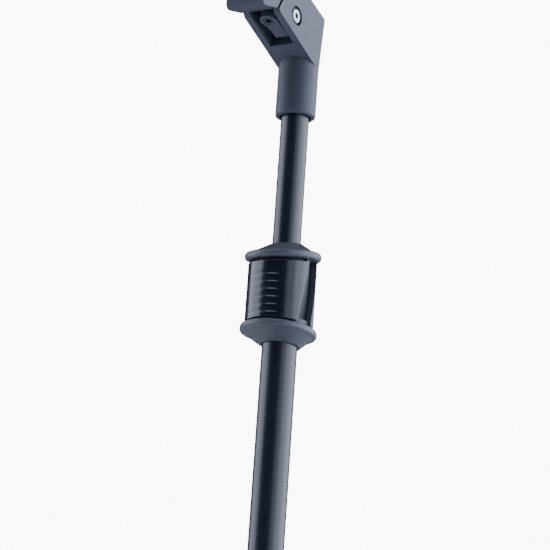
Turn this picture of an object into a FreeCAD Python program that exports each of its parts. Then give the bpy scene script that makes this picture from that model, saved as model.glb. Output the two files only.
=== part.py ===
import FreeCAD, Part

import math
import os

import Sketcher
from FreeCAD import Placement, Rotation, Vector

# Music stand. +Z is up along the column, the player stands on the -Y side, and the origin
# is on the floor under the column. Every length is in millimetres and every angle in degrees.
DIMENSIONS = {
    # Column: the upper tube slides inside the lower one.
    "lower_tube_radius": 12.7,
    "lower_tube_wall": 1.5,
    "upper_tube_radius": 10.3,
    "upper_tube_wall": 1.2,
    "column_below_hub": 2.0,
    "upper_tube_inside": 398.7,
    "tube_exposed": 95.7,
    "plug_flange": 3.0,
    "plug_depth": 12.0,
    "bush_flange": 2.0,
    "slide_fit": 0.06,
    # Clutch grip.
    "grip_height": 544.6,
    "grip_shift": 3.3,
    "grip_radius": 24.4,
    "grip_core_radius": 19.2,
    "strip_inset": 2.5,
    "grip_half": 24.45,
    "rear_edge_top": 12.0,
    "rear_edge_base": 2.0,
    "recess_edge_top": -1.8,
    "recess_edge_base": -8.5,
    "recess_sill": 19.5,
    "cap_overhang": 2.95,
    "rim_thickness": 5.8,
    "base_rim_thickness": 4.8,
    "rim_round": 2.4,
    "base_rim_round": 1.6,
    "top_cone_radius": 23.3,
    "top_cone_rise": 6.8,
    "base_cone_radius": 24.7,
    "base_cone_drop": 6.6,
    "cone_tip_wall": 1.9,
    "top_cap_tilt": 5.5,
    "base_cap_tilt": 5.5,
    "cap_gap": 0.3,
    "cap_seat": 0.02,
    "lever_shell": 1.7,
    "lever_gap": 0.8,
    "lever_gap_top": 1.9,
    "lever_gap_base": 1.4,
    "lever_edge_top": -4.2,
    "lever_edge_base": -12.6,
    "groove_count": 6,
    "groove_pitch": 5.4,
    "groove_first": -16.5,
    "groove_radius": 1.9,
    "groove_depth": 0.75,
    "tube_stop": 12.0,
    "chamber_radius": 16.2,
    "chamber_top": 14.0,
    "nose_half": 5.2,
    "nose_tip": -13.6,
    "nose_high": -1.5,
    "nose_low": -9.5,
    "nose_chamfer": 3.5,
    "nose_window_rise": 3.0,
    "lug_half": 6.2,
    "lug_reach": 2.2,
    "lug_high": -14.6,
    "lug_low": -20.5,
    "lug_play": 1.1,
    "lug_root": 0.6,
    "nose_play": 0.4,
    "pin_radius": 1.25,
    "pin_play": 0.06,
    "pin_half": 11.0,
    "lever_pin_y": -15.6,
    "lever_pin_drop": 17.5,
    "plate_radius": 15.2,
    "plate_thickness": 2.2,
    "plate_pitch": 3.4,
    "plate_tilt": 7.0,
    "plate_hole_play": 1.0,
    "plate_rise": 3.0,
    "spring_wire": 0.62,
    "spring_height": 9.5,
    "spring_turns": 3,
    "spring_play": 2.0,
    # Tilt head on top of the upper tube.
    "sleeve_radius": 14.8,
    "sleeve_depth": 34.0,
    "sleeve_mouth": 11.4,
    "sleeve_mouth_depth": 5.0,
    "sleeve_lip": 1.8,
    "arm_slope": 20.1,
    "arm_start_y": -4.0,
    "arm_start_z": 38.6,
    "pivot_y": -33.3,
    "pivot_z": 64.4,
    "slot_half": 9.5,
    "slot_start": 24.0,
    "eye_radius": 12.0,
    "nose_radius": 19.7,
    "nose_lean": 30.5,
    "arm_length": 56.2,
    "arm_chamfer": 2.7,
    "arm_chamfer_rise": 2.0,
    "roof_y": -13.6,
    "roof_z": 84.6,
    "back_top_y": 8.7,
    "back_top_z": 78.0,
    "back_low_y": 3.9,
    "back_low_z": 35.7,
    "bolt_radius": 3.0,
    "bolt_head_radius": 4.75,
    "bolt_recess_radius": 7.2,
    "bolt_recess_depth": 2.4,
    "bolt_head_height": 2.1,
    "socket_radius": 2.3,
    "washer_radius": 7.0,
    "washer_thickness": 1.4,
    "washer_play": 0.04,
    "nut_radius": 5.4,
    # Desk and the bracket that carries it. The desk leans back from upright.
    "desk_lean": 15.0,
    "bracket_reach": 46.0,
    "bracket_depth": 23.0,
    "bracket_foot": 24.0,
    "bracket_length": 150.0,
    "bracket_slope_y": 19.9,
    "bracket_slope_z": -12.4,
    "bracket_step_z": -1.0,
    "bracket_taper_low": 60.0,
    "bracket_taper_mid": 100.0,
    "bracket_mid_depth": 14.0,
    "bracket_top_depth": 6.0,
    "toe_round": 4.0,
    "neck_start": 18.0,
    "neck_low": -3.0,
    "neck_high": 9.5,
    "eye_split": -2.5,
    "eye_play": 0.1,
    "ear_low": -12.6,
    "ear_tall": 7.6,
    "ear_past_pivot": 5.5,
    "boss_radius": 6.2,
    "boss_low": -13.0,
    "boss_tall": 8.0,
    "screw_x": 1.4,
    "screw_y": 32.0,
    "screw_seat_radius": 4.3,
    "screw_seat_depth": 3.0,
    "screw_radius": 2.4,
    "screw_head_radius": 4.2,
    "screw_head_height": 2.6,
    "screw_length": 13.0,
    "flange_width": 90.0,
    "flange_height": 80.0,
    "flange_thickness": 4.0,
    "flange_low": 66.0,
    "flange_corner": 8.0,
    "desk_low": 36.0,
    "desk_width": 480.0,
    "desk_height": 330.0,
    "desk_thickness": 1.2,
    "desk_corner": 16.0,
    "bead_rise": 112.0,
    "bead_width": 3.0,
    "bead_depth": 0.3,
    "desk_screw_radius": 2.5,
    "desk_screw_head": 4.6,
    "desk_screw_head_height": 2.4,
    "desk_screw_length": 9.0,
    "desk_nut_height": 3.0,
    "desk_screw_across": 70.0,
    "desk_screw_up": 56.0,
    "shelf_depth": 48.0,
    "shelf_lip": 11.0,
    "shelf_return": 14.0,
    "shelf_rebate": 0.3,
    "shelf_rivet_pitch": 110.0,
    "shelf_rivet_rise": 8.0,
    "shelf_rivet_radius": 2.0,
    "shelf_rivet_head": 3.6,
    "shelf_rivet_head_height": 1.2,
    "shelf_rivet_tail": 3.4,
    "shelf_rivet_tail_height": 1.0,
    "shelf_rivet_play": 0.1,
    # Folding base.
    "hub_radius": 17.5,
    "hub_height": 28.0,
    "ear_radius": 6.0,
    "pivot_radius": 27.0,
    "pin_slot": 10.5,
    "strut_length": 70.0,
    "leg_angle": 51.2,
    "leg_length": 283.0,
    "leg_tip_height": 14.4,
    "leg_width": 16.0,
    "leg_depth": 14.0,
    "leg_wall": 1.5,
    "strut_width": 4.0,
    "strut_depth": 10.0,
    "rivet_radius": 2.5,
    "rivet_head": 4.4,
    "rivet_head_height": 1.6,
    "rivet_play": 0.08,
    "foot_radius": 12.0,
    "foot_top_radius": 10.5,
    "foot_height": 17.0,
    "foot_inset": 4.0,
    "boot_wall": 1.8,
    "boot_length": 34.0,
    "boot_overlap": 30.0,
    "knob_radius": 14.0,
    "knob_length": 20.0,
    "knob_start": 12.0,
    "knob_screw_radius": 3.0,
    "knob_screw_length": 26.0,
    "knob_flute_radius": 4.0,
    "knob_flute_reach": 2.0,
    "knob_boss_radius": 7.5,
    "knob_boss_length": 22.0,
    "knob_height": 20.0,
    "web_start": 10.0,
    "slotted_ear": 3.6,
    "solid_ear": 5.9,
    "ear_play": 0.4,
    "hub_below_slot": 7.5,
    "collar_below_pivot": 8.0,
    "strut_pin_reach": 4.2,
}

LEG_BEARINGS = (90.0, 210.0, 330.0)
SPRING_CLEARANCE = 0.05
KNOB_FLUTES = 8


class Size(float):
    """A number that also knows the spreadsheet expression it comes from."""

    def __new__(cls, number, text=None):
        size = float.__new__(cls, number)
        size.text = text if text is not None else repr(float(number))
        return size

    def __add__(self, other):
        other = as_size(other)
        return Size(float(self) + float(other), f"({self.text} + {other.text})")

    def __radd__(self, other):
        return as_size(other) + self

    def __sub__(self, other):
        other = as_size(other)
        return Size(float(self) - float(other), f"({self.text} - {other.text})")

    def __rsub__(self, other):
        return as_size(other) - self

    def __mul__(self, other):
        other = as_size(other)
        return Size(float(self) * float(other), f"({self.text} * {other.text})")

    def __rmul__(self, other):
        return as_size(other) * self

    def __truediv__(self, other):
        other = as_size(other)
        return Size(float(self) / float(other), f"({self.text} / {other.text})")

    def __neg__(self):
        return Size(-float(self), f"(0 - {self.text})")


def as_size(value):
    return value if isinstance(value, Size) else Size(value)


def sine(angle):
    return Size(math.sin(math.radians(angle)), f"sin({as_size(angle).text} * 1 deg)")


def cosine(angle):
    return Size(math.cos(math.radians(angle)), f"cos({as_size(angle).text} * 1 deg)")


doc = FreeCAD.newDocument("MusicStand")
sheet = doc.addObject("Spreadsheet::Sheet", "Dims")


class Dims:
    """The driving dimensions by name, each tied to its spreadsheet cell."""


d = Dims()
for row, (alias, number) in enumerate(DIMENSIONS.items(), start=1):
    sheet.set(f"A{row}", alias)
    sheet.set(f"B{row}", str(number))
    sheet.setAlias(f"B{row}", alias)
    setattr(d, alias, Size(number, f"Dims.{alias}"))
doc.recompute()


def bind(feature, name, size):
    """Ties one property of a feature to the spreadsheet."""
    size = as_size(size)
    if name.startswith("Placement"):
        feature.setExpression(name, size.text)
        return
    setattr(feature, name, float(size))
    feature.setExpression(name, size.text)


def lift(feature, x=0.0, y=0.0, z=0.0):
    """Binds where a feature stands, unless it stays at the origin."""
    if (x, y, z) == (0.0, 0.0, 0.0):
        return
    for axis, size in (("x", x), ("y", y), ("z", z)):
        feature.setExpression(f"Placement.Base.{axis}", as_size(size).text)
    feature.Placement.Base = Vector(float(x), float(y), float(z))


# ---------------------------------------------------------------- PartDesign helpers


def new_body(label):
    body = doc.addObject("PartDesign::Body", label)
    body.Label = label
    return body


def new_sketch(body, role, name, offset=0.0):
    """A sketch on one of the body's own origin planes, raised along the plane's normal."""
    sketch = body.newObject("Sketcher::SketchObject", f"{body.Name}_{name}")
    plane = next(o for o in body.Origin.OriginFeatures if o.Role == role)
    sketch.AttachmentSupport = [(plane, "")]
    sketch.MapMode = "FlatFace"
    sketch.setExpression("AttachmentOffset.Base.z", as_size(offset).text)
    return sketch


def hold_point(sketch, geo, pos, x, y):
    """Holds one point of the sketch at a bound distance from the sketch's origin."""
    for kind, size in (("DistanceX", x), ("DistanceY", y)):
        size = as_size(size)
        index = sketch.addConstraint(Sketcher.Constraint(kind, -1, 1, geo, pos, float(size)))
        sketch.setExpression(f"Constraints[{index}]", size.text)


def draw_polygon(sketch, points):
    """A closed outline; each corner is bound to the spreadsheet."""
    first = sketch.GeometryCount
    count = len(points)
    for i, (x, y) in enumerate(points):
        end_x, end_y = points[(i + 1) % count]
        start = Vector(float(x), float(y), 0)
        end = Vector(float(end_x), float(end_y), 0)
        sketch.addGeometry(Part.LineSegment(start, end))
    for i, (x, y) in enumerate(points):
        following = first + (i + 1) % count
        sketch.addConstraint(Sketcher.Constraint("Coincident", first + i, 2, following, 1))
        hold_point(sketch, first + i, 1, x, y)


def draw_circle(sketch, radius, x=0.0, y=0.0):
    geo = sketch.addGeometry(Part.Circle(Vector(float(x), float(y), 0), Vector(0, 0, 1), float(radius)))
    hold_point(sketch, geo, 3, x, y)
    index = sketch.addConstraint(Sketcher.Constraint("Radius", geo, float(radius)))
    sketch.setExpression(f"Constraints[{index}]", as_size(radius).text)


def pad(body, sketch, length, symmetric=False, reverse=False):
    feature = body.newObject("PartDesign::Pad", f"{sketch.Name}_pad")
    feature.Profile = sketch
    bind(feature, "Length", length)
    if symmetric:
        feature.SideType = "Symmetric"
    feature.Reversed = reverse
    return feature


def pocket(body, sketch, length=None, symmetric=False, reverse=False):
    """Cuts the sketch out of the body, and stops if it removed nothing."""
    doc.recompute()
    before = body.Shape.Volume
    feature = body.newObject("PartDesign::Pocket", f"{sketch.Name}_cut")
    feature.Profile = sketch
    if length is None:
        feature.Type = "ThroughAll"
    else:
        bind(feature, "Length", length)
    if symmetric:
        feature.SideType = "Symmetric"
    feature.Reversed = reverse
    doc.recompute()
    if body.Shape.Volume > before - 0.01:
        raise RuntimeError(f"{feature.Name} removed nothing")
    return feature


def lathe(label, profile):
    """A body of revolution about Z; the profile's points are (radius, height)."""
    body = new_body(label)
    sketch = new_sketch(body, "XZ_Plane", "profile")
    draw_polygon(sketch, profile)
    turned = body.newObject("PartDesign::Revolution", f"{label}_turned")
    turned.Profile = sketch
    turned.ReferenceAxis = (sketch, ["V_Axis"])
    turned.Angle = 360
    return body


def round_edges(body, name, radius, wanted):
    """Rounds the edges that the test picks out."""
    doc.recompute()
    base = body.Tip
    names = [f"Edge{i}" for i, edge in enumerate(base.Shape.Edges, start=1) if wanted(edge)]
    if not names:
        raise RuntimeError(f"{body.Name} has no edge for {name}")
    feature = body.newObject("PartDesign::Fillet", f"{body.Name}_{name}")
    feature.Base = (base, names)
    bind(feature, "Radius", radius)
    return feature


# ---------------------------------------------------------------- Part helpers


def cylinder(name, radius, height, x=0.0, y=0.0, z=0.0, along=None):
    """A cylinder from (x, y, z); `along` turns its axis away from +Z."""
    feature = doc.addObject("Part::Cylinder", name)
    bind(feature, "Radius", radius)
    bind(feature, "Height", height)
    if along is not None:
        feature.Placement.Rotation = Rotation(Vector(0, 0, 1), along)
    lift(feature, x, y, z)
    return feature


def box(name, size_x, size_y, size_z, x=0.0, y=0.0, z=0.0):
    feature = doc.addObject("Part::Box", name)
    bind(feature, "Length", size_x)
    bind(feature, "Width", size_y)
    bind(feature, "Height", size_z)
    lift(feature, x, y, z)
    return feature


def socket(name, radius, depth, x, y, z, along):
    """A hexagonal prism that cuts a key socket."""
    feature = doc.addObject("Part::Prism", name)
    feature.Polygon = 6
    bind(feature, "Circumradius", radius)
    bind(feature, "Height", depth)
    feature.Placement.Rotation = Rotation(Vector(0, 0, 1), along)
    lift(feature, x, y, z)
    return feature


def fuse(name, shapes):
    feature = doc.addObject("Part::MultiFuse", name)
    feature.Shapes = shapes
    return feature


def cut(name, base, tools):
    """The base without the tools."""
    feature = doc.addObject("Part::Cut", name)
    feature.Base = base
    feature.Tool = tools[0] if len(tools) == 1 else fuse(f"{name}_tools", tools)
    return feature


def group(label, shapes):
    """One node made of separate solids."""
    feature = doc.addObject("Part::Compound", label)
    feature.Links = shapes
    return feature


NODES = []


def node(feature, label, placement=None):
    """Registers a finished sub-part under the name of its file."""
    feature.Label = label
    if placement is not None:
        feature.Placement = placement
    NODES.append(feature)
    return feature


def tube(label, outer, inner, length, z):
    shell = cylinder(f"{label}_outside", outer, length)
    bore = cylinder(f"{label}_bore", inner, length)
    feature = cut(label, shell, [bore])
    lift(feature, z=z)
    return node(feature, label)


X_AXIS = Vector(1, 0, 0)
Y_AXIS = Vector(0, 1, 0)
Z_AXIS = Vector(0, 0, 1)

# ---------------------------------------------------------------- places that several pieces share

tube_top = d.grip_height - d.tube_stop
cone_top = d.grip_height + d.grip_half + d.cap_gap + d.rim_thickness + d.top_cone_rise
sleeve_low = cone_top + d.tube_exposed
upper_tube_low = cone_top - d.upper_tube_inside
upper_tube_top = sleeve_low + d.sleeve_depth - 1.0
lower_bore = d.lower_tube_radius - d.lower_tube_wall
upper_bore = d.upper_tube_radius - d.upper_tube_wall
pivot_height = sleeve_low + d.pivot_z
hub_pivot_height = d.leg_tip_height + d.leg_length * cosine(d.leg_angle)
strut_pivot_height = hub_pivot_height - 2 * d.strut_length * cosine(d.leg_angle)
column_hub_low = strut_pivot_height - d.pin_slot - d.hub_below_slot
column_low = column_hub_low - d.column_below_hub
cap_radius = d.grip_radius + d.cap_overhang


# ---------------------------------------------------------------- column


def make_column():
    tube("lower_tube", d.lower_tube_radius, lower_bore, tube_top - column_low, column_low)
    tube("upper_tube", d.upper_tube_radius, upper_bore, upper_tube_top - upper_tube_low, upper_tube_low)
    spigot = lower_bore - d.slide_fit
    plug = lathe(
        "column_plug",
        [
            (Size(0), Size(0)),
            (d.lower_tube_radius, Size(0)),
            (d.lower_tube_radius, d.plug_flange),
            (spigot, d.plug_flange),
            (spigot, d.plug_flange + d.plug_depth),
            (Size(0), d.plug_flange + d.plug_depth),
        ],
    )
    lift(plug, z=column_low - d.plug_flange)
    node(plug, "column_plug")
    slider = lathe(
        "slide_plug",
        [
            (Size(0), Size(0)),
            (spigot, Size(0)),
            (spigot, d.plug_depth),
            (upper_bore - d.slide_fit, d.plug_depth),
            (upper_bore - d.slide_fit, 2 * d.plug_depth),
            (Size(0), 2 * d.plug_depth),
        ],
    )
    lift(slider, z=upper_tube_low - d.plug_depth)
    node(slider, "slide_plug")
    bush_length = 2 * d.plug_depth
    bush = lathe(
        "guide_bush",
        [
            (d.upper_tube_radius + d.slide_fit, Size(0)),
            (spigot, Size(0)),
            (spigot, bush_length),
            (d.lower_tube_radius, bush_length),
            (d.lower_tube_radius, bush_length + d.bush_flange),
            (d.upper_tube_radius + d.slide_fit, bush_length + d.bush_flange),
        ],
    )
    lift(bush, z=tube_top - bush_length)
    node(bush, "guide_bush")


# ---------------------------------------------------------------- clutch grip


def side_cut(body, name, points):
    """Cuts an outline seen from the side right through the body."""
    sketch = new_sketch(body, "YZ_Plane", name)
    draw_polygon(sketch, points)
    return pocket(body, sketch, symmetric=True)


def top_line(y):
    """Height of the tilted upper cap's underside above the grip's middle, at depth y."""
    return d.grip_half + y * sine(d.top_cap_tilt) / cosine(d.top_cap_tilt)


def base_line(y):
    """Height of the tilted lower cap's top face, at depth y."""
    return -d.grip_half - y * sine(d.base_cap_tilt) / cosine(d.base_cap_tilt)


def make_grip_housing():
    body = new_body("grip_housing")
    far = 2 * d.grip_radius
    tall = 3 * d.grip_half
    sill = d.recess_sill
    rear_run = (d.rear_edge_top - d.rear_edge_base) / (2 * sill)
    rear_far = d.rear_edge_top + (far - sill) * rear_run
    recess_run = (d.recess_edge_top - d.recess_edge_base) / (2 * sill)
    recess_far = d.recess_edge_top + (far - sill) * recess_run
    outside = new_sketch(body, "XY_Plane", "outside")
    draw_circle(outside, d.grip_radius)
    pad(body, outside, tall, symmetric=True)
    side_cut(body, "opening", [(-far, -far), (d.rear_edge_base, -far), (d.rear_edge_base, -sill), (rear_far, far),
                               (-far, far)])
    strip = new_sketch(body, "XY_Plane", "strip")
    draw_circle(strip, d.grip_radius - d.strip_inset)
    pad(body, strip, tall, symmetric=True)
    edge_base = d.lever_edge_base + d.lever_gap
    edge_top = d.lever_edge_top + d.lever_gap
    side_cut(body, "lever_bay", [(-far, -far), (edge_base, -far), (edge_base, -d.grip_half), (edge_top, d.grip_half),
                                 (edge_top, far), (-far, far)])
    side_cut(body, "recess", [(d.recess_edge_base, -sill), (d.rear_edge_base, -sill), (rear_far, far),
                              (recess_far, far)])
    core = new_sketch(body, "XY_Plane", "core")
    draw_circle(core, d.grip_core_radius)
    pad(body, core, tall, symmetric=True)
    seat = new_sketch(body, "XY_Plane", "tube_seat", -d.tube_stop)
    draw_circle(seat, d.lower_tube_radius + d.slide_fit, 0.0, d.grip_shift)
    pocket(body, seat)
    chamber = new_sketch(body, "XY_Plane", "chamber", d.chamber_top)
    draw_circle(chamber, d.chamber_radius, 0.0, d.grip_shift)
    pocket(body, chamber, d.chamber_top + d.tube_stop)
    mouth = new_sketch(body, "XY_Plane", "mouth", tall)
    draw_circle(mouth, d.upper_tube_radius + d.cap_gap, 0.0, d.grip_shift)
    pocket(body, mouth, tall)
    window = new_sketch(body, "XZ_Plane", "nose_window")
    half = d.nose_half + d.nose_play
    low = d.nose_low - d.nose_window_rise / 2
    high = d.nose_high + d.nose_window_rise
    draw_polygon(window, [(-half, low), (half, low), (half, high), (-half, high)])
    pocket(body, window, d.grip_radius, reverse=True)
    lug_bay = new_sketch(body, "XZ_Plane", "lug_bay")
    half = d.lug_half + d.nose_play
    high = d.lug_high + d.lug_play
    draw_polygon(lug_bay, [(-half, -far), (half, -far), (half, high), (-half, high)])
    pocket(body, lug_bay, d.grip_radius, reverse=True)
    pin = new_sketch(body, "YZ_Plane", "pin_hole")
    draw_circle(pin, d.pin_radius + d.pin_play, d.lever_pin_y, -d.lever_pin_drop)
    pocket(body, pin, 2 * d.pin_half, symmetric=True)
    side_cut(body, "top_slope", [(-far, top_line(-far)), (far, top_line(far)), (far, 2 * far), (-far, 2 * far)])
    side_cut(body, "base_slope", [(-far, base_line(-far)), (far, base_line(far)), (far, -2 * far), (-far, -2 * far)])
    lift(body, y=-d.grip_shift, z=d.grip_height)
    node(body, "grip_housing")


def make_cap(label, side, rim, cone_radius, cone_tall, rim_round, tilt, tube_radius):
    """A tilted flange whose cone leans over to the column; `side` is 1 above the grip and -1 below it."""
    body = new_body(f"{label}_body")
    flange = new_sketch(body, "XY_Plane", "flange")
    draw_circle(flange, cap_radius)
    pad(body, flange, rim, reverse=side < 0)
    round_edges(body, "rim", rim_round, lambda edge: is_circle(edge, cap_radius))
    tall = rim + cone_tall
    foot = new_sketch(body, "XY_Plane", "cone_foot", side * rim)
    draw_circle(foot, cone_radius)
    tip = new_sketch(body, "XY_Plane", "cone_tip", side * tall)
    draw_circle(tip, tube_radius + d.cone_tip_wall, 0.0, d.grip_shift + tall * sine(tilt) / cosine(tilt))
    cone = body.newObject("PartDesign::AdditiveLoft", f"{label}_cone")
    cone.Profile = foot
    cone.Sections = [tip]
    cone.Ruled = True
    doc.recompute()
    middle = float(d.grip_height) + side * float(d.grip_half + d.cap_seat)
    body.Placement = Placement(Vector(0, -float(d.grip_shift), middle), Rotation(X_AXIS, side * float(tilt)))
    reach = 2 * d.grip_half
    low = d.grip_height if side > 0 else d.grip_height - 2 * reach
    hole = cylinder(f"{label}_hole", tube_radius + d.cap_gap, 2 * reach, z=low)
    node(cut(label, body, [hole]), label)


def make_caps():
    make_cap("upper_cap", 1, d.rim_thickness, d.top_cone_radius, d.top_cone_rise, d.rim_round, d.top_cap_tilt,
             d.upper_tube_radius)
    make_cap("lower_cap", -1, d.base_rim_thickness, d.base_cone_radius, d.base_cone_drop, d.base_rim_round,
             d.base_cap_tilt, d.lower_tube_radius)


def is_circle(edge, radius):
    return isinstance(edge.Curve, Part.Circle) and abs(edge.Curve.Radius - float(radius)) < 1e-4


def make_lever():
    body = new_body("lever_panel")
    far = 2 * d.grip_radius
    tall = 3 * d.grip_half
    inner = d.grip_radius - d.lever_shell
    shell = new_sketch(body, "XY_Plane", "shell")
    draw_circle(shell, d.grip_radius)
    draw_circle(shell, inner)
    pad(body, shell, tall, symmetric=True)
    side_cut(body, "edges", [(d.lever_edge_base, -far), (d.lever_edge_base, base_line(0)),
                             (d.lever_edge_top, top_line(0)), (d.lever_edge_top, far), (far, far), (far, -far)])
    side_cut(body, "top_edge", [(-far, top_line(-far) - d.lever_gap_top), (far, top_line(far) - d.lever_gap_top),
                                (far, 2 * far), (-far, 2 * far)])
    side_cut(body, "base_edge", [(-far, base_line(-far) + d.lever_gap_base), (far, base_line(far) + d.lever_gap_base),
                                 (far, -2 * far), (-far, -2 * far)])
    root = -inner - d.lug_root
    lug = new_sketch(body, "YZ_Plane", "lug")
    reach = d.lever_pin_y + d.lug_reach
    draw_polygon(lug, [(root, d.lug_low), (reach, d.lug_low), (reach, d.lug_high), (root, d.lug_high)])
    pad(body, lug, 2 * d.lug_half, symmetric=True)
    nose = new_sketch(body, "YZ_Plane", "nose")
    draw_polygon(nose, [(root, d.nose_low), (d.nose_tip, d.nose_low + d.nose_chamfer), (d.nose_tip, d.nose_high),
                        (root, d.nose_high)])
    pad(body, nose, 2 * d.nose_half, symmetric=True)
    pin = new_sketch(body, "YZ_Plane", "pin_hole")
    draw_circle(pin, d.pin_radius + d.pin_play, d.lever_pin_y, -d.lever_pin_drop)
    pocket(body, pin, 2 * d.lug_half + 1.0, symmetric=True)
    lift(body, y=-d.grip_shift, z=d.grip_height)
    doc.recompute()
    grooves = []
    centre = -d.grip_shift - 3 * d.grip_radius - d.groove_radius + d.groove_depth
    for i in range(int(d.groove_count)):
        height = d.grip_height + d.groove_first + i * d.groove_pitch
        groove = doc.addObject("Part::Torus", f"groove_{i + 1}")
        bind(groove, "Radius1", 2 * d.grip_radius)
        bind(groove, "Radius2", d.groove_radius)
        lift(groove, y=centre, z=height)
        grooves.append(groove)
    node(cut("grooved_lever", body, grooves), "grip_lever")
    pin = cylinder("lever_pin", d.pin_radius, 2 * d.pin_half, along=X_AXIS)
    lift(pin, x=-d.pin_half, y=d.lever_pin_y - d.grip_shift, z=d.grip_height - d.lever_pin_drop)
    node(pin, "lever_pin")


def make_locking_plates():
    """Two spring plates that jam on the upper tube when they tilt."""
    plates = []
    hole = d.upper_tube_radius + d.plate_hole_play
    for i in range(2):
        disc = cylinder(f"plate_disc_{i + 1}", d.plate_radius, d.plate_thickness, z=i * d.plate_pitch)
        bore = cylinder(f"plate_bore_{i + 1}", hole, d.plate_thickness, z=i * d.plate_pitch)
        plates.append(cut(f"plate_{i + 1}", disc, [bore]))
    tilt = Rotation(X_AXIS, float(d.plate_tilt))
    low = Vector(0, 0, float(d.grip_height + d.plate_rise))
    node(group("locking_plates", plates), "locking_plates", Placement(low, tilt))


def make_plate_spring():
    """Compression spring of square wire between the tube's guide bush and the locking plates."""
    wire = float(d.spring_wire)
    radius = float(d.upper_tube_radius + d.spring_play)
    rise = float(d.spring_height)
    low = float(tube_top + d.bush_flange) + wire + SPRING_CLEARANCE
    helix = Part.makeHelix(rise / float(d.spring_turns), rise, radius)
    corners = [(-wire, -wire), (wire, -wire), (wire, wire), (-wire, wire), (-wire, -wire)]
    section = Part.makePolygon([Vector(radius + x, 0, z) for x, z in corners])
    coil = Part.Wire(helix).makePipeShell([section], True, True)
    spring = doc.addObject("Part::Feature", "plate_spring")
    spring.Shape = coil
    node(spring, "plate_spring", Placement(Vector(0, 0, low), Rotation()))


# ---------------------------------------------------------------- tilt head


def arm_point(along, up):
    """A point of the arm's side view: `along` its underside from the sleeve, `up` square to it."""
    cos = cosine(d.arm_slope)
    sin = sine(d.arm_slope)
    return d.arm_start_y - along * cos + up * sin, d.arm_start_z + along * sin + up * cos


def make_tilt_head():
    body = new_body("tilt_head")
    sleeve = new_sketch(body, "XY_Plane", "sleeve")
    draw_circle(sleeve, d.sleeve_radius)
    pad(body, sleeve, d.roof_z + 5.0)
    arm = new_sketch(body, "YZ_Plane", "arm")
    nose_y = d.pivot_y - d.nose_radius * cosine(d.nose_lean)
    nose_z = d.pivot_z + d.nose_radius * sine(d.nose_lean)
    corners = [
        (d.back_low_y, d.back_low_z),
        arm_point(d.arm_length, 0.0),
        arm_point(d.arm_length + d.arm_chamfer, d.arm_chamfer_rise),
        (nose_y, nose_z),
        (d.pivot_y, d.pivot_z + d.nose_radius),
        (d.roof_y, d.roof_z),
        (d.back_top_y, d.back_top_z),
    ]
    middle_angle = math.radians(90 + (90 - float(d.nose_lean)) / 2)
    middle = Vector(float(d.pivot_y) + float(d.nose_radius) * math.cos(middle_angle),
                    float(d.pivot_z) + float(d.nose_radius) * math.sin(middle_angle), 0)
    count = len(corners)
    for i, (y, z) in enumerate(corners):
        end_y, end_z = corners[(i + 1) % count]
        start = Vector(float(y), float(z), 0)
        end = Vector(float(end_y), float(end_z), 0)
        if i == 3:
            arm.addGeometry(Part.Arc(start, middle, end))
        else:
            arm.addGeometry(Part.LineSegment(start, end))
    arc_start = 2
    for i, (y, z) in enumerate(corners):
        start_pos = arc_start if i == 3 else 1
        end_pos = 1 if i == 3 else 2
        next_pos = arc_start if (i + 1) % count == 3 else 1
        arm.addConstraint(Sketcher.Constraint("Coincident", i, end_pos, (i + 1) % count, next_pos))
        hold_point(arm, i, start_pos, y, z)
    radius = arm.addConstraint(Sketcher.Constraint("Radius", 3, float(d.nose_radius)))
    arm.setExpression(f"Constraints[{radius}]", d.nose_radius.text)
    pad(body, arm, 2 * d.sleeve_radius, symmetric=True)
    fall = (d.roof_z - d.back_top_z) / (d.back_top_y - d.roof_y)
    far = 2 * d.sleeve_radius
    side_cut(body, "roof", [(d.roof_y, d.roof_z), (far, d.roof_z - (far - d.roof_y) * fall), (far, 2 * d.roof_z),
                            (d.roof_y, 2 * d.roof_z)])
    slot = new_sketch(body, "YZ_Plane", "slot")
    draw_polygon(slot, [arm_point(d.slot_start, -20.0), arm_point(90.0, -20.0), arm_point(90.0, 60.0),
                        arm_point(d.slot_start, 60.0)])
    pocket(body, slot, 2 * d.slot_half, symmetric=True)
    mouth = new_sketch(body, "XY_Plane", "mouth")
    draw_circle(mouth, d.sleeve_mouth)
    pocket(body, mouth, d.sleeve_mouth_depth, reverse=True)
    bore = new_sketch(body, "XY_Plane", "bore")
    draw_circle(bore, d.upper_tube_radius + d.slide_fit)
    pocket(body, bore, d.sleeve_depth, reverse=True)
    hole = new_sketch(body, "YZ_Plane", "bolt_hole")
    draw_circle(hole, d.bolt_radius + 0.1, d.pivot_y, d.pivot_z)
    pocket(body, hole, symmetric=True)
    for side, away in (("right", 1), ("left", -1)):
        recess = new_sketch(body, "YZ_Plane", f"recess_{side}", away * (d.sleeve_radius - d.bolt_recess_depth))
        draw_circle(recess, d.bolt_recess_radius, d.pivot_y, d.pivot_z)
        pocket(body, recess, 2 * d.bolt_recess_depth, reverse=away > 0)
    round_edges(body, "sleeve_lip", d.sleeve_lip, lambda edge: is_circle(edge, d.sleeve_radius)
                and edge.BoundBox.ZMax < 1.0)
    lift(body, z=sleeve_low)
    node(body, "tilt_head")


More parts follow.
